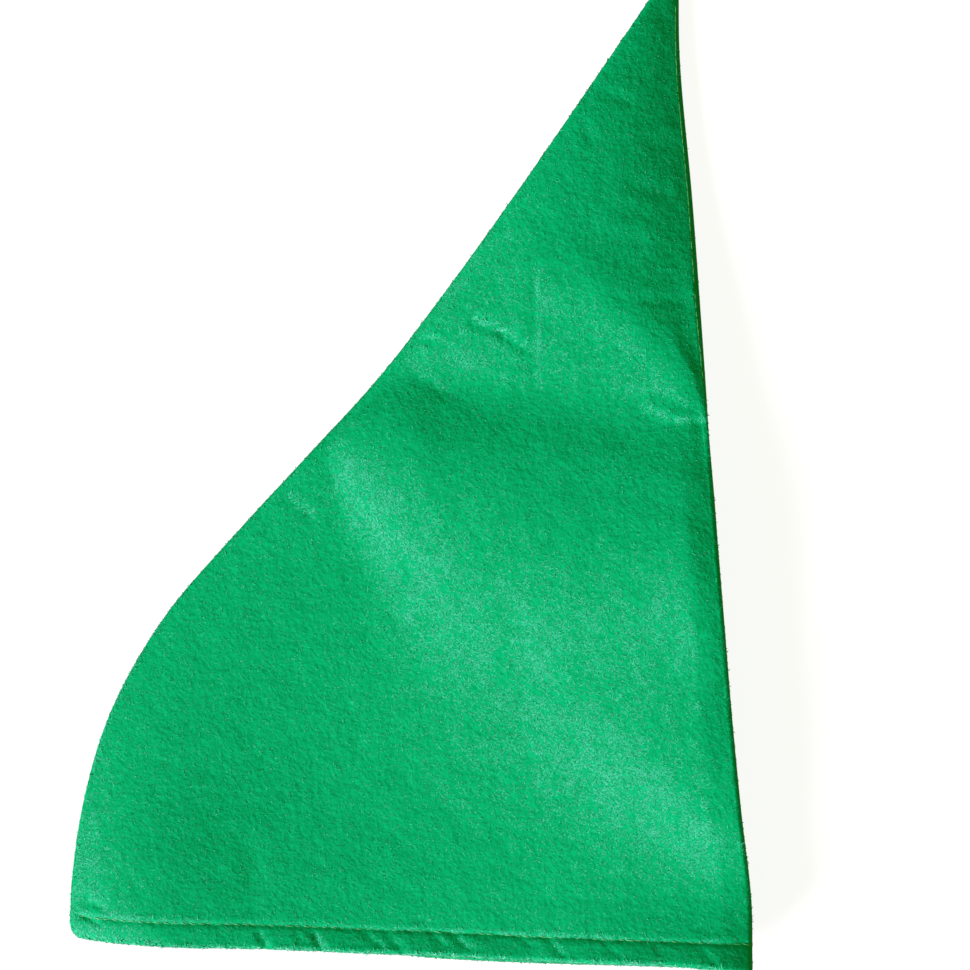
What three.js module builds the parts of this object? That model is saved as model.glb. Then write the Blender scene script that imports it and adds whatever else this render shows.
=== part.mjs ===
// A pointed goblin hat of green craft felt, lying on its side as it was put down.
// Two panels cut from one pattern are sewn together along a curved front seam and a nearly straight back
// seam, turned right side out and hemmed round the mouth. The lower panel lies on the surface. The upper
// panel lies almost flat at the front and stays puffed up towards the back, over the hollow for the head.
// Millimetres: X from the front seam to the back seam, Y from the mouth to the tip, Z up from the surface.
import * as THREE from "three";

// Felt and sewing
const FELT = 1.5; // thickness of the felt
const FOLD_AIR = 0.5; // air between two layers that are folded on each other
const SEAM_LINE = 0.4; // gap between the two panels along a seam
const STITCH_LINE = 10.5; // the row of stitches that holds the hem, above the mouth
const STITCH_RISE = 1.5; // how much higher that row runs at the back seam
const HEM = 12.5; // felt turned up inside at the mouth
const SEAM_ALLOWANCE = 6; // felt left inside a seam
const ALLOWANCE_SHARE = 0.28; // of a narrow section near the tip, which has no room for the whole allowance
const TIP_ALLOWANCE = 1.2; // felt left inside the tip
const STITCH_DENT = 0.9; // how deep the hem stitches pull into the felt
const STITCH_SPREAD = 2.2; // how far from the stitches that dent reaches
const HEM_FLARE = 1.8; // how far the hem of the upper panel flares up below its stitches

// Outline of the panels as they lie
const HEIGHT = 414; // mouth to tip along the front
const MOUTH_DROP = 11.5; // how much lower the back end of the mouth lies than its front end
const FRONT_CORNER = 8; // radius of the mouth's front corner
const BACK_CORNER = 2.5; // radius of the mouth's back corner
const LIP = 2.6; // how far the lower panel's hem shows past the upper one
const LIP_REACH = 60; // how far up the panels the felt is drawn along with the mouth's edge

// How the felt lies
const LIFT_REACH = 55; // how far from a seam the lower panel starts to rise to it
const SHOULDER_REACH = 45; // how far from the front seam its low shoulder reaches
const HINGE = 0.25; // how softly the upper panel starts to rise
const ROLL_RADIUS = 0.8; // the round edge where it turns down over an upright wall at the back
const OVERHANG = 1; // how far that round edge stands out over the back seam
const DROOP_REACH = 12.5; // how far from that round edge the panel starts to bend down
const PEEK_REACH = 12; // how far from the back seam the felt is drawn in where the lower panel shows
const FRONT_FADE = 6; // folds fade out over this distance from the front seam
const WALL_FADE = 9; // over this one from the back seam, up an upright wall
const SLOPE_FADE = 30; // and over this one where the panel slopes down to it

// Sections from the mouth up to the tip. front, back: the two seams. crown: how far the upper panel rises
// from the front seam to the back. flat: the share of the way across where that rise starts. roll: where
// the panel turns down to the back seam. upright: 1 where it turns down in a round edge over an upright
// wall, 0 where it slopes down. droop: how far it bends down before that edge. shoulder: its rise behind
// the front seam. frontLift, backLift: how far the seams are off the surface. peek: how far the lower panel
// shows past the upper one along the back seam.
const SECTIONS = table(
  [
    "up", "front", "back", "crown", "flat", "roll", "upright", "droop", "shoulder",
    "frontLift", "backLift", "peek",
  ],
  [0, -146, 145, 10, 0.25, 10, 1, 3, 10.5, 2, 12, 0],
  [30, -144.5, 144.6, 10.5, 0.3, 10, 1, 1.3, 9, 1.5, 13, 0],
  [65, -138.8, 140.3, 12.5, 0.35, 10, 1, 1.4, 5, 1, 14.5, 0],
  [100, -127.5, 136.7, 15, 0.38, 10, 1, 2.6, 2.5, 1, 16, 0],
  [140, -104.2, 133.2, 15.5, 0.38, 10, 1, 3.2, 1.5, 1, 17, 0],
  [175, -74, 130.3, 13, 0.35, 10, 1, 3.4, 0.5, 2, 17, 0],
  [205, -46.2, 128.1, 8, 0.25, 10, 1, 2, 0.5, 4, 16.5, 0],
  [240, -14.2, 126, 2.4, 0.1, 11, 0.8, 1.4, 1, 4.5, 15.5, 0.4],
  [270, 9.3, 124, 1.5, 0, 30, 0.2, 0.3, 3, 7, 11.5, 1.2],
  [320, 45.6, 120.5, 3.5, 0, 35, 0, 0, 2.9, 12.5, 4, 1.2],
  [380, 86.8, 115.2, 1, 0, 24, 0, 0, 1, 8.5, 1.5, 1],
  [414, 110, 114.8, 1, 0, 5, 0, 0, 0, 1.5, 0.3, 0.4],
);

// The mouth's edge isn't cut quite straight. across: the share of the way from the front seam to the back.
// y: how far the edge lies towards the tip there.
const MOUTH_WAVE = table(
  ["across", "y"],
  [0, 1.9],
  [0.02, 1.3],
  [0.06, 0.6],
  [0.15, 0.2],
  [0.24, 0.9],
  [0.4, 1.1],
  [0.45, 0.5],
  [0.5, -0.7],
  [0.58, -1.4],
  [0.72, -1.5],
  [0.86, -0.8],
  [1, 0],
);

// Soft folds that run across the upper panel. x, y: the crest. height: above the panel, or below it.
// below, above: how far the fold reaches towards the mouth and towards the tip.
const BELLY_CREST = table(
  ["x", "y", "height", "below", "above"],
  [-35, 14, 0.5, 10, 30],
  [-22, 4, 2.8, 24, 40],
  [-5, -10, 4.8, 36, 55],
  [17, -28, 6, 42, 55],
  [47, -37, 6, 42, 48],
  [89, -40, 4.5, 38, 40],
  [128, -44, 4, 34, 38],
);
const WAIST_DENT = table(
  ["x", "y", "height", "below", "above"],
  [-7, 43, -2.4, 15, 12],
  [25, 34, -2.2, 15, 15],
  [64, 28, -1.5, 15, 15],
  [98, 22, -1.8, 15, 14],
  [128, 17, -1.5, 15, 12],
);
const NECK_RIDGE = table(
  ["x", "y", "height", "below", "above"],
  [8, 63, 1, 12, 10],
  [30, 75, 1.2, 15, 12],
  [57, 85, 1.8, 20, 16],
  [81, 77, 2.4, 22, 20],
  [102, 58, 2.1, 18, 23],
  [124, 36, 1.4, 16, 25],
);
const MOUTH_SWELL = table(
  ["x", "y", "height", "below", "above"],
  [47, -94, 0, 30, 40],
  [72, -104, 2, 30, 40],
  [102, -124, 3.3, 27, 40],
  [132, -147, 3.3, 21, 40],
);
const MOUTH_FLARE = table(
  ["x", "y", "height", "below", "above"],
  [50, -213, 0, 20, 20],
  [90, -216, 5.5, 20, 26],
  [140, -222, 9, 20, 30],
);
const FOLDS = [BELLY_CREST, WAIST_DENT, NECK_RIDGE, MOUTH_SWELL, MOUTH_FLARE];

// Facets
const COLUMNS = 24; // across a panel
const ROWS_IN_HEM = 3; // from the mouth to the stitches
const ROWS = 30; // from the mouth to the tip
const TURN_STEPS = 4; // round a folded edge
const RETURN_STEPS = 2; // across the felt that is turned inside

// Sizes that follow
const TURN = (FELT + FOLD_AIR) / 2; // radius of a folded edge, in the middle of the felt
const EDGE = TURN + FELT / 2; // from the start of a fold to its outermost line
const LOWER_SEAM = FELT / 2; // the lower panel along a seam, above the lift
const UPPER_SEAM = LOWER_SEAM + 4 * TURN + FELT + SEAM_LINE; // the upper panel there
const CENTRE_Y = (HEIGHT - MOUTH_DROP) / 2;

const { clamp, lerp, smoothstep } = THREE.MathUtils;

// A table of named columns. Read at a place in its first column, it gives a row on a smooth curve.
function table(names, ...rows) {
  const places = rows.map((row) => row[0]);
  const curve = new THREE.CubicInterpolant(places, rows.flat(), names.length);
  return (place) => {
    const values = curve.evaluate(place);
    return Object.fromEntries(names.map((name, i) => [name, values[i]]));
  };
}

// How far a rounded corner of the mouth cuts in at a height above it
function corner(radius, up) {
  const left = Math.max(radius - up, 0);
  return radius - Math.sqrt(radius * radius - left * left);
}

// Plan position at a share q of the way across, in the flat part of a panel
function planAt(q, up) {
  const { front, back } = SECTIONS(up);
  const x = lerp(front + EDGE + corner(FRONT_CORNER, up), back - EDGE - corner(BACK_CORNER, up), q);
  const wave = MOUTH_WAVE(q).y * Math.max(1 - up / LIP_REACH, 0) ** 2;
  return new THREE.Vector2(x, up - MOUTH_DROP * q * (1 - up / HEIGHT) - CENTRE_Y + wave);
}

function bump(distance, reach) {
  return Math.exp(-((distance / reach) ** 2));
}

function foldHeight(fold, point) {
  const { y, height, below, above } = fold(point.x);
  return height * bump(point.y - y, point.y > y ? above : below);
}

// The rise of a panel that lies flat up to a share of the way across and then climbs evenly
function hinge(q, flat) {
  const rise = (share) => {
    const turn = (share - flat) / (1 - flat);
    return turn + Math.hypot(turn, HINGE);
  };
  return (rise(q) - rise(0)) / (rise(1) - rise(0));
}

// How far from the back seam the upper panel lies in plan where it turns down: round an edge, then upright
function rolledIn(fromBack, width, roll, rise, turn) {
  if (fromBack > roll) return lerp(ROLL_RADIUS, width, (fromBack - roll) / (width - roll));
  const share = Math.max(1 - (rise * (1 - turn)) / ROLL_RADIUS, 0);
  const overhang = OVERHANG * smoothstep(turn, 0, 0.5) * (1 - share);
  return ROLL_RADIUS * (1 - Math.sqrt(1 - share * share)) - overhang;
}

// How freely the felt takes folds and dents: not at all along the seams
function looseness(fromFront, fromBack, upright) {
  const backFade = lerp(SLOPE_FADE, WALL_FADE, upright);
  return smoothstep(fromFront, 0, FRONT_FADE) * smoothstep(fromBack, 0, backFade);
}

// How far above the mouth the row of stitches runs
function stitchesAt(q) {
  return STITCH_LINE + STITCH_RISE * smoothstep(q, 0.85, 1);
}

// The lower panel lies flat and rises to its seams.
function lowerPanel(q, up) {
  const { front, back, frontLift, backLift, upright } = SECTIONS(up);
  const point = planAt(q, up);
  const fromFront = q * (back - front);
  const fromBack = (1 - q) * (back - front);
  const reach = Math.min(LIFT_REACH, (back - front) / 2);
  const atFront = frontLift * Math.max(1 - fromFront / reach, 0) ** 2;
  const atBack = backLift * Math.max(1 - fromBack / reach, 0) ** 2;
  const dent = STITCH_DENT * 0.5 * bump(up - stitchesAt(q), STITCH_SPREAD);
  const stitches = dent * looseness(fromFront, fromBack, upright);
  return new THREE.Vector3(point.x, point.y, LOWER_SEAM + atFront + atBack + stitches);
}

// The upper panel rises from the front seam to the back, with its folds, and turns down to the back seam.
function upperPanel(q, up) {
  const section = SECTIONS(up);
  const width = section.back - section.front;
  const fromFront = q * width;
  const fromBack = width - fromFront;
  const behindSeam = 1 - Math.max(1 - fromFront / SHOULDER_REACH, 0) ** 2;
  const climb = hinge(q, section.flat);
  const rise = section.crown * climb + section.shoulder * behindSeam * (1 - q);
  const turn = (1 - (1 - Math.min(fromBack / section.roll, 1)) ** 2) ** lerp(1, 0.5, section.upright);
  const inward = lerp(fromBack, rolledIn(fromBack, width, section.roll, rise, turn), section.upright);
  const puff = rise - section.droop * Math.max(1 - inward / DROOP_REACH, 0) ** 1.5;
  const point = planAt(q, up);
  point.x += fromBack - inward - section.peek * bump(fromBack, PEEK_REACH);
  const folds = FOLDS.reduce((sum, fold) => sum + foldHeight(fold, point), 0);
  const flare = HEM_FLARE * Math.max(1 - up / STITCH_LINE, 0);
  const stitches = STITCH_DENT * bump(up - stitchesAt(q), STITCH_SPREAD);
  const detail = (folds + flare - stitches) * looseness(fromFront, fromBack, section.upright);
  const gape = smoothstep(q, 0.4, 0.55) * smoothstep(fromBack, 0, SHOULDER_REACH);
  point.y += LIP * gape * Math.max(1 - up / LIP_REACH, 0) ** 2;
  const seam = UPPER_SEAM + lerp(section.frontLift, section.backLift, climb);
  return new THREE.Vector3(point.x, point.y, seam + puff * turn + detail);
}

// Heights of the rows: close together in the hem, then evenly up to the tip
function rowHeights() {
  const low = Array.from({ length: ROWS_IN_HEM }, (_, j) => lerp(EDGE, STITCH_LINE, j / ROWS_IN_HEM));
  const rest = ROWS - ROWS_IN_HEM;
  const rowAt = (j) => lerp(STITCH_LINE, HEIGHT - EDGE, (j / rest) ** 1.1);
  const high = Array.from({ length: rest + 1 }, (_, j) => rowAt(j));
  return [...low, ...high];
}

// Shares of the columns: closer together towards the seams
function columnShares() {
  return Array.from({ length: COLUMNS + 1 }, (_, i) => {
    const even = i / COLUMNS;
    return lerp(even, smoothstep(even, 0, 1), 0.8);
  });
}

// The middle of a panel's felt: the flat part as a grid, then its edge folded round and turned inside.
// facing is 1 where the outside of the felt looks up and -1 where it looks down.
function panelSurface(panel, facing) {
  const ups = rowHeights();
  const shares = columnShares();
  const points = ups.flatMap((up) => shares.map((q) => panel(q, up)));
  const flat = ups.flatMap((up) => shares.map((q) => planAt(q, up)));
  const quads = [];
  const at = (i, j) => j * (COLUMNS + 1) + i;
  for (let j = 0; j < ROWS; j++) {
    for (let i = 0; i < COLUMNS; i++) {
      quads.push([at(i, j), at(i + 1, j), at(i + 1, j + 1), at(i, j + 1)]);
    }
  }

  const rim = [];
  for (let i = 0; i < COLUMNS; i++) rim.push([i, 0]);
  for (let j = 0; j < ROWS; j++) rim.push([COLUMNS, j]);
  for (let i = COLUMNS; i > 0; i--) rim.push([i, ROWS]);
  for (let j = ROWS; j > 0; j--) rim.push([0, j]);

  const strips = rim.map(([i, j], k) => {
    const start = points[at(i, j)];
    const before = flat[at(...rim[(k + rim.length - 1) % rim.length])];
    const after = flat[at(...rim[(k + 1) % rim.length])];
    const out = outward(before, flat[at(i, j)], after);
    const behind = points[at(clamp(i, 1, COLUMNS - 1), clamp(j, 1, ROWS - 1))];
    const end = turnedEnd(panel, shares[i], ups[j], facing);
    const edge = foldedEdge(start, behind, out, end, facing);
    return [at(i, j), ...edge.map((point) => points.push(point) - 1)];
  });
  strips.forEach((strip, k) => {
    const next = strips[(k + 1) % strips.length];
    for (let n = 0; n + 1 < strip.length; n++) quads.push([strip[n], strip[n + 1], next[n + 1], next[n]]);
  });
  if (facing < 0) quads.forEach((quad) => quad.reverse());
  return { points, quads };
}

// Outward direction at a point of the flat rim, between the directions of its two sides
function outward(before, start, after) {
  const side = (a, b) => new THREE.Vector3(b.y - a.y, a.x - b.x, 0).normalize();
  return side(before, start).add(side(start, after)).normalize();
}

// Where the felt that is turned inside ends: at the top of the hem, or at the seam allowance.
// The hem follows the panel that it is sewn to, and a seam allowance stays level.
function turnedEnd(panel, q, up, facing) {
  const { front, back } = SECTIONS(up);
  const share = Math.min(SEAM_ALLOWANCE / (back - front - 2 * EDGE), ALLOWANCE_SHARE);
  const top = HEIGHT - EDGE;
  const inset = lerp(share, 1 - share, q);
  const inside = lerp(HEM, top - TIP_ALLOWANCE, (up - EDGE) / (top - EDGE));
  const { x, y } = planAt(inset, inside);
  const point = new THREE.Vector3(x, y, panel(inset, inside).z - facing * 2 * TURN);
  return { point, follows: up > EDGE ? 0 : smoothstep(Math.min(q, 1 - q), 0, 0.08) };
}

// Points round a folded edge, which starts at the panel's own slope, and across the felt turned inside
function foldedEdge(start, behind, out, end, facing) {
  const run = Math.hypot(start.x - behind.x, start.y - behind.y);
  const slope = clamp(Math.atan2(facing * (behind.z - start.z), run), 0, Math.PI / 3);
  const edge = [];
  for (let n = 1; n <= TURN_STEPS; n++) {
    const angle = lerp(slope, Math.PI, n / TURN_STEPS);
    const point = start.clone().addScaledVector(out, TURN * Math.sin(angle));
    point.z += facing * TURN * (Math.cos(angle) - 1);
    edge.push(point);
  }
  const last = edge[edge.length - 1];
  const target = end.point.clone();
  target.z = lerp(last.z, target.z, end.follows);
  for (let n = 1; n <= RETURN_STEPS; n++) edge.push(last.clone().lerp(target, n / RETURN_STEPS));
  return edge;
}

// A closed solid from the middle of the felt: one skin on each side, joined along the raw edge
function thicken({ points, quads }) {
  const normals = points.map(() => new THREE.Vector3());
  const edges = new Set();
  for (const quad of quads) {
    const [a, b, c, d] = quad.map((index) => points[index]);
    const normal = c.clone().sub(a).cross(d.clone().sub(b)).normalize();
    quad.forEach((index, n) => {
      normals[index].add(normal);
      edges.add(index + " " + quad[(n + 1) % 4]);
    });
  }
  const skin = (side) =>
    points.flatMap((point, n) => {
      const out = normals[n].clone().normalize();
      return point.clone().addScaledVector(out, side * FELT * 0.5).toArray();
    });
  const inner = points.length;
  const triangles = [];
  const face = (a, b, c, d) => triangles.push(a, b, c, a, c, d);
  for (const quad of quads) {
    const [a, b, c, d] = quad;
    face(a, b, c, d);
    face(inner + d, inner + c, inner + b, inner + a);
    quad.forEach((from, n) => {
      const to = quad[(n + 1) % 4];
      if (!edges.has(to + " " + from)) face(to, from, inner + from, inner + to);
    });
  }
  const geometry = new THREE.BufferGeometry();
  geometry.setAttribute("position", new THREE.Float32BufferAttribute([...skin(1), ...skin(-1)], 3));
  geometry.setIndex(triangles);
  geometry.computeVertexNormals();
  return geometry;
}

const hat = new THREE.Group();
hat.name = "goblin_hat";
for (const [name, panel, facing] of [
  ["lower_panel", lowerPanel, -1],
  ["upper_panel", upperPanel, 1],
]) {
  const felt = new THREE.MeshStandardMaterial({ color: 0x0eac6a, roughness: 0.95, name: "green_felt" });
  const mesh = new THREE.Mesh(thicken(panelSurface(panel, facing)), felt);
  mesh.name = name;
  hat.add(mesh);
}

// The origin is the middle of the underside.
const box = new THREE.Box3().setFromObject(hat);
const middle = box.getCenter(new THREE.Vector3());
hat.children.forEach((mesh) => mesh.geometry.translate(-middle.x, -middle.y, -box.min.z));

export default hat;
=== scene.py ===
import functools
import itertools
import math
import random
from collections import namedtuple

import bmesh
import bpy
from mathutils import Matrix, Vector, noise


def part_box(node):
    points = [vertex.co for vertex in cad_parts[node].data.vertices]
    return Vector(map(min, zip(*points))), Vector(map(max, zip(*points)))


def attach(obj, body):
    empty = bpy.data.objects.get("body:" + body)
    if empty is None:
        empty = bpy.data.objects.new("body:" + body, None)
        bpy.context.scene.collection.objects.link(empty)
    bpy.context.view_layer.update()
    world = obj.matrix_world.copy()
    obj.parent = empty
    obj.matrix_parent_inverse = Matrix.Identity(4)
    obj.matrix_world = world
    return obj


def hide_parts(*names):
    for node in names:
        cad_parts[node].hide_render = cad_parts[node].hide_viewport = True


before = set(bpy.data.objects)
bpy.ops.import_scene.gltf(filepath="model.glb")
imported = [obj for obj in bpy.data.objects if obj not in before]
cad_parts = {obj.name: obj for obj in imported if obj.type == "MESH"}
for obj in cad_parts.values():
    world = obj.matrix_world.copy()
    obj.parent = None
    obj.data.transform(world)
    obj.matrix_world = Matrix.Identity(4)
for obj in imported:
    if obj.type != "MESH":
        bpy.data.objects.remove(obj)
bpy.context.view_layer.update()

scene = bpy.context.scene

# Camera: it looks straight down on the hat, as the photograph does, with the mouth at the bottom of the
# picture and the tip running out at the top. A long lens keeps the outline free of perspective.
PICTURE_WIDTH = 0.4149
PICTURE_CENTRE = (0.0321, -0.0058)
SEAM_HEIGHT = 0.006
LENS = 200.0
SENSOR = 36.0

camera = bpy.data.objects.new("camera", bpy.data.cameras.new("camera"))
camera.data.lens = LENS
camera.data.sensor_width = SENSOR
camera.data.clip_end = 50.0
camera.location = (*PICTURE_CENTRE, SEAM_HEIGHT + PICTURE_WIDTH * LENS / SENSOR)
scene.collection.objects.link(camera)
scene.camera = camera
scene.view_settings.view_transform = "Standard"

# Light and floor: soft light falls in low from the front of the mouth, with pale light from all round. The
# floor is a white sheet that glows a little, so that the hat's shadow on it stays faint.
LIGHT_FROM = math.radians(220)
LIGHT_HEIGHT = math.radians(27)
LIGHT_SOFTNESS = math.radians(30)
LIGHT_STRENGTH = 5.0
SKY_STRENGTH = 0.25
FLOOR_SIZE = 3.0

window = bpy.data.objects.new("window_light", bpy.data.lights.new("window_light", "SUN"))
window.data.energy = LIGHT_STRENGTH
window.data.color = (1.2, 1.0, 1.35)
window.data.angle = LIGHT_SOFTNESS
towards_light = Vector((math.cos(LIGHT_FROM), math.sin(LIGHT_FROM), math.tan(LIGHT_HEIGHT)))
window.rotation_euler = towards_light.to_track_quat("Z", "Y").to_euler()
scene.collection.objects.link(window)

scene.world = bpy.data.worlds.new("pale_room")
scene.world.use_nodes = True
sky = scene.world.node_tree.nodes["Background"]
sky.inputs["Color"].default_value = (1.0, 1.0, 0.25, 1.0)
sky.inputs["Strength"].default_value = SKY_STRENGTH


class Shade:
    """A socket in a material's node tree. Arithmetic on it adds Math nodes."""

    def __init__(self, tree, socket=None):
        self.tree = tree
        self.socket = socket

    def node(self, kind, settings=None, inputs=None, out=0):
        """A node of that kind, with its settings set first and then its sockets. Gives one output."""
        made = self.tree.nodes.new(kind)
        for key, value in (settings or {}).items():
            setattr(made, key, value)
        for key, value in (inputs or {}).items():
            if isinstance(value, Shade):
                self.tree.links.new(value.socket, made.inputs[key])
            else:
                made.inputs[key].default_value = value
        return Shade(self.tree, made.outputs[out])

    def math(self, operation, first, second):
        return self.node("ShaderNodeMath", {"operation": operation}, {0: first, 1: second})

    def __add__(self, other):
        return self.math("ADD", self, other)

    def __radd__(self, other):
        return self.math("ADD", other, self)

    def __sub__(self, other):
        return self.math("SUBTRACT", self, other)

    def __rsub__(self, other):
        return self.math("SUBTRACT", other, self)

    def __mul__(self, other):
        return self.math("MULTIPLY", self, other)

    def __rmul__(self, other):
        return self.math("MULTIPLY", other, self)

    def __pow__(self, other):
        return self.math("POWER", self, other)

    def __abs__(self):
        return self.math("ABSOLUTE", self, 0.0)


def new_material(name):
    """An empty node tree with its Principled shader, and a Shade to build on."""
    material = bpy.data.materials.new(name)
    material.use_nodes = True
    shader = material.node_tree.nodes["Principled BSDF"]
    return material, shader, Shade(material.node_tree)


def new_piece(name, bm, material):
    """A smooth piece at the origin from a bmesh, with its material."""
    mesh = bpy.data.meshes.new(name)
    bm.to_mesh(mesh)
    bm.free()
    mesh.materials.append(material)
    mesh.shade_smooth()
    piece = bpy.data.objects.new(name, mesh)
    scene.collection.objects.link(piece)
    return piece


paper, shader, shade = new_material("white_floor")
shader.inputs["Base Color"].default_value = (0.25, 0.25, 0.25, 1.0)
shader.inputs["Roughness"].default_value = 0.9
shader.inputs["Emission Color"].default_value = (1.0, 1.0, 1.0, 1.0)
shader.inputs["Emission Strength"].default_value = 0.9
bm = bmesh.new()
bmesh.ops.create_grid(bm, x_segments=1, y_segments=1, size=FLOOR_SIZE)
floor = new_piece("floor", bm, paper)
floor.visible_diffuse = False
floor.visible_glossy = False

# Lower panel: the side of the hat that lies on the floor. Cut from green craft felt to the same pattern as
# the other side, sewn to it along the curved front and the straight back, and hemmed at the mouth. Its
# edges are turned inside. It lies flat in the middle and rises to its seams.
FELT = 0.0015
FOLD_AIR = 0.0005
SEAM_LINE = 0.0004
STITCH_LINE = 0.0105
STITCH_RISE = 0.0015
STITCH_RISE_FROM = 0.85
HEM = 0.0125
SEAM_ALLOWANCE = 0.006
ALLOWANCE_SHARE = 0.28
TIP_ALLOWANCE = 0.0012
STITCH_DENT = 0.0006
STITCH_SPREAD = 0.0013
HEIGHT = 0.414
MOUTH_DROP = 0.0115
FRONT_CORNER = 0.008
BACK_CORNER = 0.0025
LIP_REACH = 0.060
LIFT_REACH = 0.055
FRONT_FADE = 0.006
WALL_FADE = 0.009
SLOPE_FADE = 0.030
TURN_STEPS = 6
RETURN_STEPS = 3
HEM_BAND = 0.016
HEM_ROWS = 0.14
HEM_END = 0.08
CLOSE_COLUMNS = 0.6
STEEPEST_FOLD = math.radians(60)
TURN = (FELT + FOLD_AIR) / 2
EDGE = TURN + FELT / 2
LOWER_SEAM = FELT / 2
UPPER_SEAM = LOWER_SEAM + 4 * TURN + FELT + SEAM_LINE

# front, back: the two seams. crown: how far the upper panel rises from the front seam to the back.
# flat: the share of the way across where that rise starts. roll: where the panel turns down to the back
# seam. upright: 1 where it turns down in a tight round edge over an upright wall, 0 where it slopes down.
# droop: how far it bends down before that edge. shoulder: its rise behind the front seam. front_lift,
# back_lift: how far the seams are off the floor. peek: how far the lower panel shows past the upper one
# along the back seam.
Section = namedtuple(
    "Section", "up front back crown flat roll upright droop shoulder front_lift back_lift peek"
)
SECTIONS = (
    Section(0.000, -0.1460, 0.1450, 0.0100, 0.25, 0.010, 1.0, 0.0030, 0.0105, 0.0020, 0.0120, 0.0000),
    Section(0.030, -0.1445, 0.1446, 0.0105, 0.30, 0.010, 1.0, 0.0013, 0.0090, 0.0015, 0.0130, 0.0000),
    Section(0.065, -0.1388, 0.1403, 0.0125, 0.35, 0.010, 1.0, 0.0014, 0.0050, 0.0010, 0.0145, 0.0000),
    Section(0.100, -0.1275, 0.1367, 0.0150, 0.38, 0.010, 1.0, 0.0026, 0.0025, 0.0010, 0.0160, 0.0000),
    Section(0.140, -0.1042, 0.1332, 0.0155, 0.38, 0.010, 1.0, 0.0032, 0.0015, 0.0010, 0.0170, 0.0000),
    Section(0.175, -0.0740, 0.1303, 0.0130, 0.35, 0.010, 1.0, 0.0034, 0.0005, 0.0020, 0.0170, 0.0000),
    Section(0.205, -0.0462, 0.1281, 0.0080, 0.25, 0.010, 1.0, 0.0020, 0.0005, 0.0040, 0.0165, 0.0000),
    Section(0.240, -0.0142, 0.1260, 0.0024, 0.10, 0.011, 0.8, 0.0014, 0.0010, 0.0045, 0.0155, 0.0004),
    Section(0.270, 0.0093, 0.1240, 0.0015, 0.00, 0.030, 0.2, 0.0003, 0.0030, 0.0070, 0.0115, 0.0012),
    Section(0.320, 0.0456, 0.1205, 0.0035, 0.00, 0.035, 0.0, 0.0000, 0.0029, 0.0125, 0.0040, 0.0012),
    Section(0.380, 0.0868, 0.1152, 0.0010, 0.00, 0.024, 0.0, 0.0000, 0.0010, 0.0085, 0.0015, 0.0010),
    Section(0.414, 0.1100, 0.1148, 0.0010, 0.00, 0.005, 0.0, 0.0000, 0.0000, 0.0015, 0.0003, 0.0004),
)

# The mouth's edge isn't cut quite straight. across: from the front seam to the back. y: towards the tip.
Wave = namedtuple("Wave", "across y")
MOUTH_WAVE = (
    Wave(0.00, 0.0019),
    Wave(0.02, 0.0013),
    Wave(0.06, 0.0006),
    Wave(0.15, 0.0002),
    Wave(0.24, 0.0009),
    Wave(0.40, 0.0011),
    Wave(0.45, 0.0005),
    Wave(0.50, -0.0007),
    Wave(0.58, -0.0014),
    Wave(0.72, -0.0015),
    Wave(0.86, -0.0008),
    Wave(1.00, 0.0000),
)


def lerp(start, end, share):
    return start + (end - start) * share


def smooth(value, low, high):
    share = min(max((value - low) / (high - low), 0.0), 1.0)
    return share * share * (3.0 - 2.0 * share)


def bump(distance, reach):
    return math.exp(-((distance / reach) ** 2))


def slope_at(table, row, column):
    """The slope of a column of a table at a row: the mean of the slopes on its two sides."""
    sides = [
        (after[column] - before[column]) / (after[0] - before[0])
        for before, after in zip(table[max(row - 1, 0):row + 1], table[max(row, 1):row + 2])
    ]
    return sum(sides) / len(sides)


@functools.lru_cache(maxsize=None)
def row_at(table, place):
    """The row of a table at a place in its first column, on a smooth curve through its rows."""
    place = min(max(place, table[0][0]), table[-1][0])
    row = sum(known[0] <= place for known in table[1:-1])
    low, high = table[row], table[row + 1]
    step = high[0] - low[0]
    t = (place - low[0]) / step
    values = []
    for column in range(len(low)):
        start = slope_at(table, row, column) * step
        end = slope_at(table, row + 1, column) * step
        rise = high[column] - low[column]
        bend = 3 * rise - 2 * start - end + t * (start + end - 2 * rise)
        values.append(low[column] + t * (start + t * bend))
    return type(low)(*values)


def corner(radius, up):
    """How far a rounded corner of the mouth cuts in at a height above it."""
    left = max(radius - up, 0.0)
    return radius - math.sqrt(radius * radius - left * left)


def plan_at(across, up):
    """Place in plan, in the flat of a panel, at a share of the way across from the front seam."""
    section = row_at(SECTIONS, up)
    front = section.front + EDGE + corner(FRONT_CORNER, up)
    back = section.back - EDGE - corner(BACK_CORNER, up)
    y = up - MOUTH_DROP * across * (1 - up / HEIGHT) - (HEIGHT - MOUTH_DROP) / 2
    y += row_at(MOUTH_WAVE, across).y * max(1 - up / LIP_REACH, 0.0) ** 2
    return Vector((lerp(front, back, across), y, 0.0))


def looseness(section, from_front, from_back):
    """How freely the felt takes folds and dents: not at all along the seams."""
    back_fade = lerp(SLOPE_FADE, WALL_FADE, section.upright)
    return smooth(from_front, 0.0, FRONT_FADE) * smooth(from_back, 0.0, back_fade)


def stitch_at(across):
    """How far above the mouth the row of stitches runs: a little higher towards the back seam."""
    return STITCH_LINE + STITCH_RISE * smooth(across, STITCH_RISE_FROM, 1.0)


def lower_panel(across, up):
    section = row_at(SECTIONS, up)
    width = section.back - section.front
    from_front = across * width
    from_back = width - from_front
    reach = min(LIFT_REACH, width / 2)
    point = plan_at(across, up)
    point.z = LOWER_SEAM
    point.z += section.front_lift * max(1 - from_front / reach, 0.0) ** 2
    point.z += section.back_lift * max(1 - from_back / reach, 0.0) ** 2
    dent = STITCH_DENT / 2 * bump(up - stitch_at(across), STITCH_SPREAD)
    point.z += dent * looseness(section, from_front, from_back)
    return point


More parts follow.
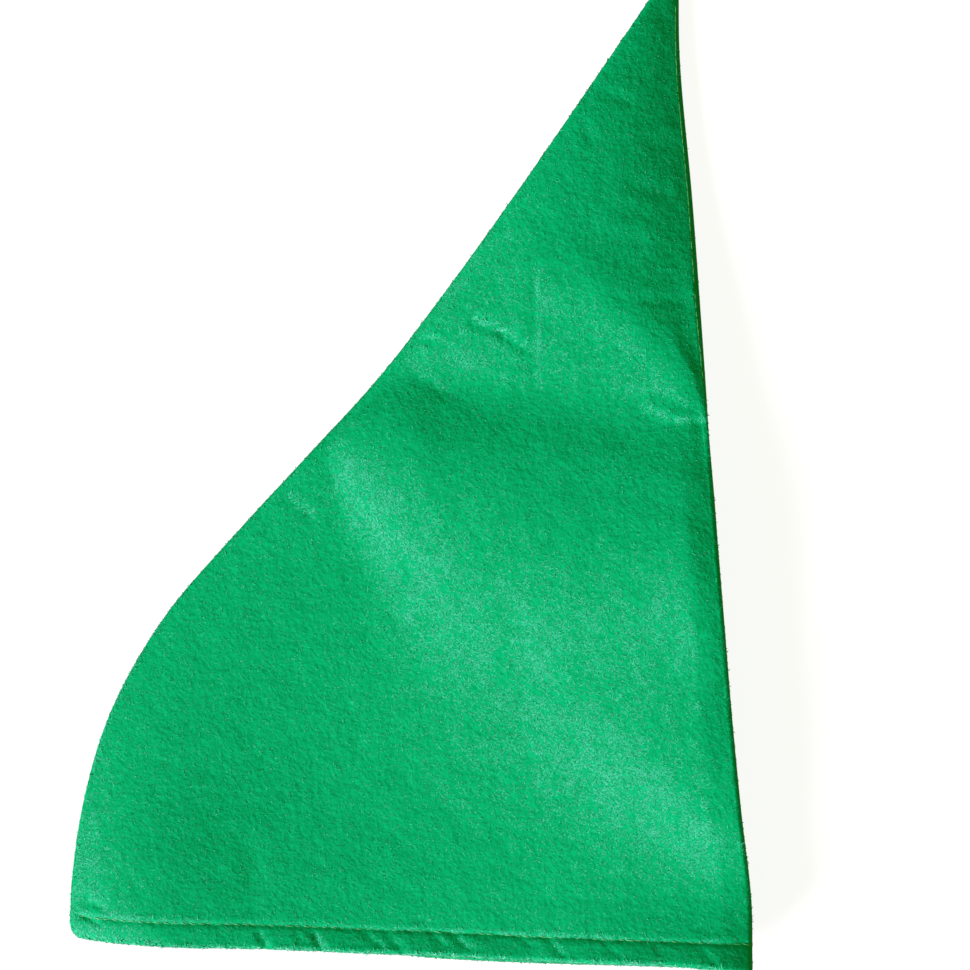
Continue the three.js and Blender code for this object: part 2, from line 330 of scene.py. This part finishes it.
def turned_end(panel, across, up, facing):
    """Where the felt that is turned inside ends: at the top of the hem, or at the seam allowance."""
    section = row_at(SECTIONS, up)
    share = min(SEAM_ALLOWANCE / (section.back - section.front - 2 * EDGE), ALLOWANCE_SHARE)
    top = HEIGHT - EDGE
    inside = lerp(HEM, top - TIP_ALLOWANCE, (up - EDGE) / (top - EDGE))
    inset = lerp(share, 1 - share, across)
    end = plan_at(inset, inside)
    end.z = panel(inset, inside).z - facing * 2 * TURN
    return end


def felt_panel(name, panel, facing, columns, rows, material):
    """A felt sheet: a grid laid out by the panel's shape, its edge folded round and turned inside."""
    bm = bmesh.new()
    bmesh.ops.create_grid(bm, x_segments=columns, y_segments=rows, size=0.5)
    flat = bm.verts.layers.float_vector.new("flat")
    start = bm.verts.layers.float_vector.new("start")
    out = bm.verts.layers.float_vector.new("out")
    end = bm.verts.layers.float_vector.new("end")
    slope = bm.verts.layers.float.new("slope")
    follows = bm.verts.layers.float.new("follows")
    for vert in bm.verts:
        even = vert.co.x + 0.5
        across = lerp(even, smooth(even, 0.0, 1.0), CLOSE_COLUMNS)
        row = vert.co.y + 0.5
        up = lerp(EDGE, HEM_BAND, row / HEM_ROWS)
        if row > HEM_ROWS:
            up = lerp(HEM_BAND, HEIGHT - EDGE, (row - HEM_ROWS) / (1 - HEM_ROWS))
        vert.co = panel(across, up)
        vert[flat] = plan_at(across, up)
        if vert.is_boundary:
            vert[end] = turned_end(panel, across, up, facing)
            vert[follows] = smooth(min(across, 1 - across), 0.0, HEM_END) if up <= EDGE else 0.0
    grid = bm.faces[:]
    rim = [vert for vert in bm.verts if vert.is_boundary]
    for vert in rim:
        one, other = [edge.other_vert(vert)[flat] for edge in vert.link_edges if edge.is_boundary]
        faces = vert.link_faces
        inside = sum((face.calc_center_median() for face in faces), Vector()) / len(faces)
        side = (one - other).cross(Vector((0.0, 0.0, 1.0))).normalized()
        vert[out] = side if side.dot(vert.co - vert[end]) > 0 else -side
        fall = math.atan2(facing * (inside.z - vert.co.z), (inside.xy - vert.co.xy).length)
        vert[slope] = min(max(fall, 0.0), STEEPEST_FOLD)
        vert[start] = vert.co - Vector((0, 0, facing * TURN))
        target = vert[end]
        target.z = lerp(vert[start].z - facing * TURN, target.z, vert[follows])
        vert[end] = target
    for step in range(1, TURN_STEPS + RETURN_STEPS + 1):
        edges = [edge for edge in bm.edges if edge.is_boundary]
        made = bmesh.ops.extrude_edge_only(bm, edges=edges)["geom"]
        for vert in (item for item in made if isinstance(item, bmesh.types.BMVert)):
            angle = lerp(vert[slope], math.pi, min(step / TURN_STEPS, 1.0))
            around = vert[out] * math.sin(angle) + Vector((0, 0, facing * math.cos(angle)))
            vert.co = vert[start] + TURN * around
            if step > TURN_STEPS:
                vert.co = vert.co.lerp(vert[end], (step - TURN_STEPS) / RETURN_STEPS)
    # The operator adds its faces in no fixed order, so they are put in order of place.
    turned = sorted(set(bm.faces).difference(grid), key=lambda face: face.calc_center_median()[:])
    order = {face: place for place, face in enumerate([*grid, *turned])}
    bm.faces.sort(key=order.get)
    bm.normal_update()
    bm.faces.ensure_lookup_table()
    if bm.faces[0].normal.z * facing < 0:
        bmesh.ops.reverse_faces(bm, faces=bm.faces)
    for layer in (flat, start, out, end):
        bm.verts.layers.float_vector.remove(layer)
    bm.verts.layers.float.remove(slope)
    bm.verts.layers.float.remove(follows)
    piece = new_piece(name, bm, material)
    wall = piece.modifiers.new("felt_wall", "SOLIDIFY")
    wall.thickness = FELT
    wall.offset = 0.0
    wall.use_quality_normals = True
    return piece


def green_felt():
    """Pressed craft felt: a matted ground of short fibres, blotchy, and paler where they stand up."""
    material, shader, shade = new_material("green_felt")
    place = shade.node("ShaderNodeTexCoord", out="Object")
    blotch = shade.node("ShaderNodeTexNoise", inputs={"Vector": place, "Scale": 110.0, "Detail": 3.0})
    crumple = shade.node("ShaderNodeTexNoise", inputs={"Vector": place, "Scale": 250.0, "Detail": 1.0})
    matted = shade.node("ShaderNodeTexNoise", inputs={"Vector": place, "Scale": 400.0, "Detail": 1.0})
    veins = shade.node("ShaderNodeTexNoise", inputs={"Vector": place, "Scale": 420.0, "Detail": 2.0})
    fibres = (1.0 - abs(veins * 2.0 - 1.0)) ** 6.0
    pale = fibres * 0.35 + blotch * 0.7 + matted * 0.5 - 0.3
    colour = shade.node(
        "ShaderNodeMix",
        {"data_type": "RGBA"},
        {"Factor": pale, 6: (0.0002, 0.35, 0.085, 1.0), 7: (0.001, 0.49, 0.142, 1.0)},
        out=2,
    )
    height = fibres * 0.35 + matted * 1.6 + crumple * 1.2 + blotch * 0.5
    normal = shade.node("ShaderNodeBump", inputs={"Strength": 0.32, "Distance": 0.0008, "Height": height})
    shade.tree.links.new(colour.socket, shader.inputs["Base Color"])
    shade.tree.links.new(normal.socket, shader.inputs["Normal"])
    shader.inputs["Roughness"].default_value = 0.7
    shader.inputs["Specular IOR Level"].default_value = 0.3
    shader.inputs["Specular Tint"].default_value = (0.03, 0.5, 1.0, 1.0)
    shader.inputs["Sheen Weight"].default_value = 0.08
    shader.inputs["Sheen Roughness"].default_value = 0.5
    shader.inputs["Sheen Tint"].default_value = (0.03, 1.0, 0.7, 1.0)
    return material


felt = green_felt()
lower = felt_panel("lower_felt", lower_panel, -1, 120, 170, felt)
low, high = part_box("lower_panel")
xs = [vert.co.x for vert in lower.data.vertices]
ys = [vert.co.y for vert in lower.data.vertices]
to_frame = Vector((low[0] + high[0] - min(xs) - max(xs), low[1] + high[1] - min(ys) - max(ys), 0.0)) / 2
for vert in lower.data.vertices:
    vert.co += to_frame
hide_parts("lower_panel")
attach(lower, "root")

# Upper panel: the side of the hat that lies on top, of the same felt. It lies almost flat at the front,
# rises towards the back over the hollow, and turns down to the back seam. Soft folds fan out from the
# waist, where the front edge is drawn in.
HEM_FLARE = 0.0018
FRONT_FLARE = -0.3
FLARE_FROM = (0.1, 0.4)
STITCH_PULL = 0.004
UNEVEN_PULL = 0.5
LIP = 0.0026
LIP_FROM = (0.4, 0.55)
SHOULDER_REACH = 0.045
ROLL_RADIUS = 0.0008
OVERHANG = 0.0010
DROOP_REACH = 0.0125
DROOP_BEND = 1.5
PEEK_REACH = 0.012
HINGE = 0.25
MOTTLE = ((0.012, 0.00024), (0.005, 0.00016))

# A fold runs across the panel. x, y: its crest. height: above the panel, or below it. below, above: how far
# it reaches towards the mouth and towards the tip.
Fold = namedtuple("Fold", "x y height below above")
BELLY_CREST = (
    Fold(-0.035, 0.014, 0.0005, 0.010, 0.030),
    Fold(-0.022, 0.004, 0.0028, 0.024, 0.040),
    Fold(-0.005, -0.010, 0.0048, 0.036, 0.055),
    Fold(0.017, -0.028, 0.0060, 0.042, 0.055),
    Fold(0.047, -0.037, 0.0060, 0.042, 0.048),
    Fold(0.089, -0.040, 0.0045, 0.038, 0.040),
    Fold(0.128, -0.044, 0.0040, 0.034, 0.038),
)
WAIST_DENT = (
    Fold(-0.007, 0.043, -0.0024, 0.015, 0.012),
    Fold(0.025, 0.034, -0.0022, 0.015, 0.015),
    Fold(0.064, 0.028, -0.0015, 0.015, 0.015),
    Fold(0.098, 0.022, -0.0018, 0.015, 0.014),
    Fold(0.128, 0.017, -0.0015, 0.015, 0.012),
)
NECK_RIDGE = (
    Fold(0.008, 0.063, 0.0010, 0.012, 0.010),
    Fold(0.030, 0.075, 0.0012, 0.015, 0.012),
    Fold(0.057, 0.085, 0.0018, 0.020, 0.016),
    Fold(0.081, 0.077, 0.0024, 0.022, 0.020),
    Fold(0.102, 0.058, 0.0021, 0.018, 0.023),
    Fold(0.124, 0.036, 0.0014, 0.016, 0.025),
)
MOUTH_SWELL = (
    Fold(0.047, -0.094, 0.0000, 0.030, 0.040),
    Fold(0.072, -0.104, 0.0020, 0.030, 0.040),
    Fold(0.102, -0.124, 0.0033, 0.027, 0.040),
    Fold(0.132, -0.147, 0.0033, 0.021, 0.040),
)
MOUTH_FLARE = (
    Fold(0.050, -0.213, 0.0000, 0.020, 0.020),
    Fold(0.090, -0.216, 0.0055, 0.020, 0.026),
    Fold(0.140, -0.222, 0.0090, 0.020, 0.030),
)
FOLDS = (BELLY_CREST, WAIST_DENT, NECK_RIDGE, MOUTH_SWELL, MOUTH_FLARE)

# Fine creases, each from one point to another. depth is below 0 where the felt stands up.
Crease = namedtuple("Crease", "from_x from_y to_x to_y width depth")
CREASES = (
    Crease(0.102, 0.0290, 0.118, 0.0215, 0.0025, -0.0008),
    Crease(0.112, 0.0205, 0.127, 0.0200, 0.0015, 0.0010),
    Crease(0.026, 0.0640, 0.039, 0.0590, 0.0015, 0.0010),
    Crease(0.039, 0.0590, 0.050, 0.0515, 0.0015, 0.0009),
    Crease(0.001, 0.0570, 0.010, 0.0555, 0.0015, 0.0011),
    Crease(0.004, 0.0395, 0.015, 0.0335, 0.0025, 0.0006),
    Crease(-0.056, -0.0095, -0.043, -0.0190, 0.0016, 0.0007),
    Crease(0.053, 0.0860, 0.053, 0.0350, 0.0022, 0.0003),
    Crease(0.079, 0.1630, 0.093, 0.1575, 0.0020, 0.0006),
    Crease(0.090, 0.0725, 0.121, 0.0725, 0.0025, 0.0005),
    Crease(-0.067, -0.1620, -0.067, -0.1850, 0.0060, 0.0006),
    Crease(-0.137, -0.1845, -0.132, -0.1855, 0.0022, 0.0007),
    Crease(0.100, 0.1970, 0.109, 0.1930, 0.0015, 0.0004),
    Crease(0.074, 0.1470, 0.077, 0.1420, 0.0025, 0.0005),
    Crease(0.105, 0.1455, 0.113, 0.1480, 0.0030, -0.0004),
    Crease(0.104, 0.1385, 0.115, 0.1405, 0.0030, 0.0005),
    Crease(0.096, 0.1210, 0.108, 0.1180, 0.0030, 0.0005),
    Crease(0.083, 0.1080, 0.100, 0.1040, 0.0035, -0.0004),
    Crease(-0.1440, -0.1880, -0.1330, -0.1930, 0.0014, 0.0006),
    Crease(-0.0640, -0.1965, -0.0605, -0.2035, 0.0012, 0.0011),
    Crease(-0.0490, -0.1965, -0.0460, -0.2005, 0.0014, 0.0005),
    Crease(-0.0415, -0.1965, -0.0360, -0.2045, 0.0012, 0.0012),
    Crease(-0.0185, -0.1970, -0.0125, -0.2025, 0.0014, 0.0006),
    Crease(-0.0100, -0.1975, -0.0030, -0.2050, 0.0014, 0.0007),
    Crease(0.0090, -0.1985, 0.0145, -0.2040, 0.0014, 0.0006),
    Crease(0.0175, -0.1985, 0.0250, -0.2050, 0.0014, 0.0007),
    Crease(0.0465, -0.1995, 0.0500, -0.2030, 0.0014, 0.0005),
    Crease(0.0580, -0.2000, 0.0640, -0.2070, 0.0013, 0.0008),
    Crease(0.0830, -0.2020, 0.0860, -0.2060, 0.0014, 0.0005),
    Crease(0.1040, -0.2030, 0.1065, -0.2060, 0.0014, 0.0004),
    Crease(0.1235, -0.2040, 0.1290, -0.2095, 0.0016, 0.0003),
)


def crease_depth(crease, point):
    start = Vector((crease.from_x, crease.from_y))
    along = Vector((crease.to_x, crease.to_y)) - start
    share = min(max((point.xy - start).dot(along) / along.length_squared, 0.0), 1.0)
    return crease.depth * bump((point.xy - start - share * along).length, crease.width)


def hinge(across, flat):
    """The rise of a panel that lies flat up to a share of the way across and then climbs evenly."""
    def rise(share):
        turn = (share - flat) / (1 - flat)
        return turn + math.sqrt(turn ** 2 + HINGE ** 2)

    return (rise(across) - rise(0.0)) / (rise(1.0) - rise(0.0))


def fold_height(table, point):
    fold = row_at(table, point.x)
    apart = point.y - fold.y
    return fold.height * bump(apart, fold.above if apart > 0 else fold.below)


def upper_panel(across, up):
    section = row_at(SECTIONS, up)
    point = plan_at(across, up)
    width = section.back - section.front
    from_front = across * width
    from_back = width - from_front
    climb = hinge(across, section.flat)
    puff = section.crown * climb
    puff += section.shoulder * (1 - max(1 - from_front / SHOULDER_REACH, 0.0) ** 2) * (1 - across)
    turn = (1 - (1 - min(from_back / section.roll, 1.0)) ** 2) ** lerp(1.0, 0.5, section.upright)
    round_edge = max(1 - puff * (1 - turn) / ROLL_RADIUS, 0.0)
    rolled = ROLL_RADIUS * (1 - math.sqrt(1 - round_edge ** 2))
    rolled -= OVERHANG * smooth(turn, 0.0, 0.5) * (1 - round_edge)
    if from_back > section.roll:
        rolled = lerp(ROLL_RADIUS, width, (from_back - section.roll) / (width - section.roll))
    inward = lerp(from_back, rolled, section.upright)
    puff -= section.droop * max(1 - inward / DROOP_REACH, 0.0) ** DROOP_BEND
    point.x += from_back - inward - section.peek * bump(from_back, PEEK_REACH)
    folds = sum(fold_height(table, point) for table in FOLDS)
    flare = lerp(FRONT_FLARE, 1.0, smooth(across, *FLARE_FROM))
    folds += HEM_FLARE * max(1 - up / STITCH_LINE, 0.0) * flare
    pull = STITCH_DENT * (1 + UNEVEN_PULL * noise.noise(point / STITCH_PULL))
    folds -= pull * bump(up - stitch_at(across), STITCH_SPREAD)
    folds *= looseness(section, from_front, from_back)
    fine = sum(depth * noise.noise(point / size) for size, depth in MOTTLE)
    fine -= sum(crease_depth(crease, point) for crease in CREASES)
    fine *= smooth(min(from_front, from_back), 0.0, FRONT_FADE)
    gape = smooth(across, *LIP_FROM) * smooth(from_back, 0.0, SHOULDER_REACH)
    point.y += LIP * gape * max(1 - up / LIP_REACH, 0.0) ** 2
    point.z = UPPER_SEAM + lerp(section.front_lift, section.back_lift, climb) + puff * turn + folds + fine
    return point


upper = felt_panel("upper_felt", upper_panel, 1, 180, 224, felt)
for vert in upper.data.vertices:
    vert.co += to_frame
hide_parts("upper_panel")
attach(upper, "root")

# Nap: loose fibre on the outside of both panels, the same wool as the felt. Each fibre is caught in the
# felt at its ends curls over it. Paler fibre is strewn thickest on the slopes that face the light, as a
# painted highlight, and round the mouth, where it is partly edge fuzz and partly a painted highlight.
FIBRE_RISES = (1.0, 0.0, -1.0)
FIBRE_LENGTH = (0.0009, 0.0022)
FIBRE_WIDTH = (0.00028, 0.00048)
FIBRE_ARCH = (0.00006, 0.00020)
FIBRE_CURL = 0.9
FIBRE_ROLL = 0.17
FIBRE_ROOT = 0.00004
# How far a face must turn towards the light before pale fibre, a painted highlight, gathers on it.
LIT_FACING = (0.02, 0.25)
STRAY = 0.02
PATCH = 0.006
PATCH_MEAN = 0.7
OUTSIDE_FACING = -0.3
# The faces of the mouth's rim, which face the light and take pale fuzz that is partly a painted highlight.
RIM_FACING = -0.6
RIM_TURN = 0.4
GRAIN = Vector((0.0, 0.6, 0.8))
# The direction the light falls in from, along which pale fibre is laid as a painted highlight.
TOWARDS_LIGHT = Vector((-0.77, -0.64, 0.0))


def nap_material(name, dull, bright):
    material, shader, shade = new_material(name)
    place = shade.node("ShaderNodeTexCoord", out="Object")
    tone = shade.node("ShaderNodeTexNoise", inputs={"Vector": place, "Scale": 300.0, "Detail": 1.0})
    colour = shade.node(
        "ShaderNodeMix",
        {"data_type": "RGBA"},
        {"Factor": tone * 2.0 - 0.5, 6: (*dull, 1.0), 7: (*bright, 1.0)},
        out=2,
    )
    shade.tree.links.new(colour.socket, shader.inputs["Base Color"])
    shader.inputs["Roughness"].default_value = 0.5
    shader.inputs["Specular IOR Level"].default_value = 0.2
    return material


def evenly(face):
    """The same amount of fibre all over."""
    return 1.0


def where_lit(face):
    """How much pale fibre goes on a face, a painted highlight: most on slopes facing the light, in patches.
    """
    patchy = max(PATCH_MEAN + noise.noise(face.center / PATCH), 0.0)
    return STRAY + smooth(face.normal.dot(TOWARDS_LIGHT), *LIT_FACING) * patchy


def mouth_rim_fuzz_and_highlight(face):
    """Fibre on the rim of the mouth alone, where it faces the light: partly edge fuzz, partly a painted
    highlight.
    """
    return 1.0 if face.normal.y < RIM_FACING else 0.0


def nap(name, panel, facing, count, density, turned, seed, material):
    """Fibres strewn over the outside of a panel and turned either way, each a ribbon drawn out in steps."""
    chance = random.Random(seed)
    skin = [face for face in panel.data.polygons if face.normal.z * facing > OUTSIDE_FACING]
    shares = list(itertools.accumulate(face.area * density(face) for face in skin))
    corners = panel.data.vertices
    bm = bmesh.new()
    heading = bm.verts.layers.float_vector.new("heading")
    above = bm.verts.layers.float_vector.new("above")
    curl = bm.verts.layers.float.new("curl")
    for face in chance.choices(skin, cum_weights=shares, k=count):
        first, second, third, fourth = (corners[index].co for index in face.vertices)
        share = chance.random()
        spot = first.lerp(second, share).lerp(fourth.lerp(third, share), chance.random())
        along = GRAIN.cross(face.normal).normalized()
        along.rotate(Matrix.Rotation(chance.uniform(-turned, turned), 3, face.normal))
        side = along.cross(face.normal) * chance.uniform(*FIBRE_WIDTH) / 2
        side.rotate(Matrix.Rotation(chance.uniform(-FIBRE_ROLL, FIBRE_ROLL), 3, along))
        spot += face.normal * (FELT / 2 - FIBRE_ROOT)
        ends = [bm.verts.new(spot + side), bm.verts.new(spot - side)]
        step = along * chance.uniform(*FIBRE_LENGTH) / len(FIBRE_RISES)
        lift = face.normal * chance.uniform(*FIBRE_ARCH)
        turn = chance.uniform(-FIBRE_CURL, FIBRE_CURL)
        for vert in ends:
            vert[heading], vert[above], vert[curl] = step, lift, turn
        bm.edges.new(ends)
    tips = bm.edges[:]
    for rise in FIBRE_RISES:
        made = bmesh.ops.extrude_edge_only(bm, edges=tips)["geom"]
        fresh = {item for item in made if isinstance(item, bmesh.types.BMVert)}
        edges = [item for item in made if isinstance(item, bmesh.types.BMEdge)]
        tips = [edge for edge in edges if fresh.issuperset(edge.verts)]
        for vert in fresh:
            step = vert[heading].copy()
            step.rotate(Matrix.Rotation(vert[curl], 3, vert[above]))
            vert.co += step + rise * vert[above]
            vert[heading] = step
    for vert in bm.verts:
        vert.co.z = max(vert.co.z, -FIBRE_ROOT)
    for layer in (heading, above):
        bm.verts.layers.float_vector.remove(layer)
    bm.verts.layers.float.remove(curl)
    piece = new_piece(name, bm, material)
    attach(piece, "root")
    return piece


mint_fibre = nap_material("mint_fibre", (0.0004, 0.41, 0.13), (0.002, 0.51, 0.19))
# Pale fibre for the slopes that face the light: a painted highlight.
highlight_fibre = nap_material("highlight_fibre", (0.013, 0.48, 0.20), (0.033, 0.54, 0.26))
# Pale fuzz for the mouth's rim, which faces the light: partly real fuzz, partly a painted highlight.
rim_fuzz_highlight_fibre = nap_material("rim_fuzz_highlight_fibre", (0.04, 0.56, 0.28), (0.20, 0.70, 0.42))
upper_nap = [
    nap("upper_nap", upper, 1, 24000, evenly, math.pi, 3, mint_fibre),
    # Pale lint on the slopes facing the light: a painted highlight.
    nap("upper_highlight_lint", upper, 1, 32000, where_lit, math.pi, 5, highlight_fibre),
    # Fuzz on the upper rim of the mouth: partly real fuzz, partly a painted highlight.
    nap("upper_rim_fuzz_and_highlight", upper, 1, 2000, mouth_rim_fuzz_and_highlight, RIM_TURN, 6, rim_fuzz_highlight_fibre),
]
lower_nap = [
    nap("lower_nap", lower, -1, 14000, evenly, math.pi, 7, mint_fibre),
    # Fuzz on the lower rim of the mouth: partly real fuzz, partly a painted highlight.
    nap("lower_rim_fuzz_and_highlight", lower, -1, 2000, mouth_rim_fuzz_and_highlight, RIM_TURN, 9, rim_fuzz_highlight_fibre),
]

# Thread: pale green polyester. A row of lockstitch holds the turned hem of each panel, on the outside and
# on the inside, and its ends go down into the felt. A finer row shows along the back seam up to the tip.
Row = namedtuple("Row", "width slant sink depths")
HEM_ROW = Row(0.0006, (math.radians(-16), 0.0), (0.0002, 0.0006), (FELT / 2, -2 * TURN - FELT / 2))
SEAM_ROW = Row(0.0004, (math.radians(-3), math.radians(3)), (0.0000, 0.0002), (0.0,))
STITCH_LENGTH = 0.0042
STITCH_PITCH = 0.00375
STITCH_BED = (-0.0001, 0.0002)
SEAM_SPAN = (0.236, 0.406)
SEAM_TILT = math.radians(32)
SEAM_TILT_STEP = 0.1
ROW_SAMPLES = 800
NEAR_SAMPLES = 4
STITCH_SEED = 11


def sewn(name, row, lines, facing, material):
    """Stitches at even steps along the middle one of three lines on the felt, at each depth of the row."""
    below, line, above = lines
    lengths = ((after - before).length for before, after in itertools.pairwise(line))
    runs = [0.0, *itertools.accumulate(lengths)]
    chance = random.Random(STITCH_SEED)
    bm = bmesh.new()
    for stitch in range(1, int(runs[-1] / STITCH_PITCH)):
        n = sum(run < stitch * STITCH_PITCH for run in runs)
        along = (line[min(n + NEAR_SAMPLES, ROW_SAMPLES)] - line[max(n - NEAR_SAMPLES, 0)]).normalized()
        outside = along.cross(above[n] - below[n]).normalized() * facing
        upward = outside.cross(along)
        bed = chance.uniform(*STITCH_BED)
        for depth in row.depths:
            into = -1.0 if depth < 0 else 1.0
            slant = Matrix.Rotation(chance.uniform(*row.slant), 3, "Z")
            sunk = chance.uniform(*row.sink)
            made = bmesh.ops.create_uvsphere(bm, u_segments=8, v_segments=5, radius=1.0)["verts"]
            for vert in made:
                ball = vert.co.copy()
                vert.co = Vector((ball.z * STITCH_LENGTH, ball.x * row.width, ball.y * row.width)) / 2
                vert.co.z -= into * (bed + sunk * (vert.co.x * 2 / STITCH_LENGTH) ** 2)
                vert.co.rotate(slant)
                vert.co = line[n] + along * vert.co.x + upward * vert.co.y + outside * (vert.co.z + depth)
    bmesh.ops.recalc_face_normals(bm, faces=bm.faces)
    bmesh.ops.translate(bm, vec=to_frame, verts=bm.verts)
    piece = new_piece(name, bm, material)
    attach(piece, "root")
    return piece


def hem_lines(panel):
    """The row of stitches above the mouth, with a line on each side of it."""
    shares = [n / ROW_SAMPLES for n in range(ROW_SAMPLES + 1)]
    sides = (-STITCH_SPREAD, 0.0, STITCH_SPREAD)
    return [[panel(share, stitch_at(share) + aside) for share in shares] for aside in sides]


def seam_edge(up, tilt):
    """A point on the folded edge of the upper panel along the back seam, tilted outwards from its top."""
    run = plan_at(1.0, up + FELT) - plan_at(1.0, up - FELT)
    out = Vector((run.y, -run.x, 0.0)).normalized()
    skin = (TURN + FELT / 2) * (out * math.sin(tilt) + Vector((0.0, 0.0, math.cos(tilt))))
    return upper_panel(1.0, up) - Vector((0.0, 0.0, TURN)) + skin


thread, shader, shade = new_material("green_thread")
place = shade.node("ShaderNodeTexCoord", out="Object")
twist = shade.node("ShaderNodeTexWave", {"bands_direction": "DIAGONAL"}, {"Vector": place, "Scale": 900.0})
colour = shade.node(
    "ShaderNodeMix",
    {"data_type": "RGBA"},
    {"Factor": twist, 6: (0.015, 0.38, 0.10, 1.0), 7: (0.10, 0.50, 0.16, 1.0)},
    out=2,
)
shade.tree.links.new(colour.socket, shader.inputs["Base Color"])
shader.inputs["Roughness"].default_value = 0.45
upper_thread = sewn("upper_hem_thread", HEM_ROW, hem_lines(upper_panel), 1, thread)
lower_thread = sewn("lower_hem_thread", HEM_ROW, hem_lines(lower_panel), -1, thread)
ups = [lerp(*SEAM_SPAN, n / ROW_SAMPLES) for n in range(ROW_SAMPLES + 1)]
sides = (-SEAM_TILT_STEP, 0.0, SEAM_TILT_STEP)
seam_lines = [[seam_edge(up, SEAM_TILT - aside) for up in ups] for aside in sides]
seam_thread = sewn("back_seam_thread", SEAM_ROW, seam_lines, 1, thread)
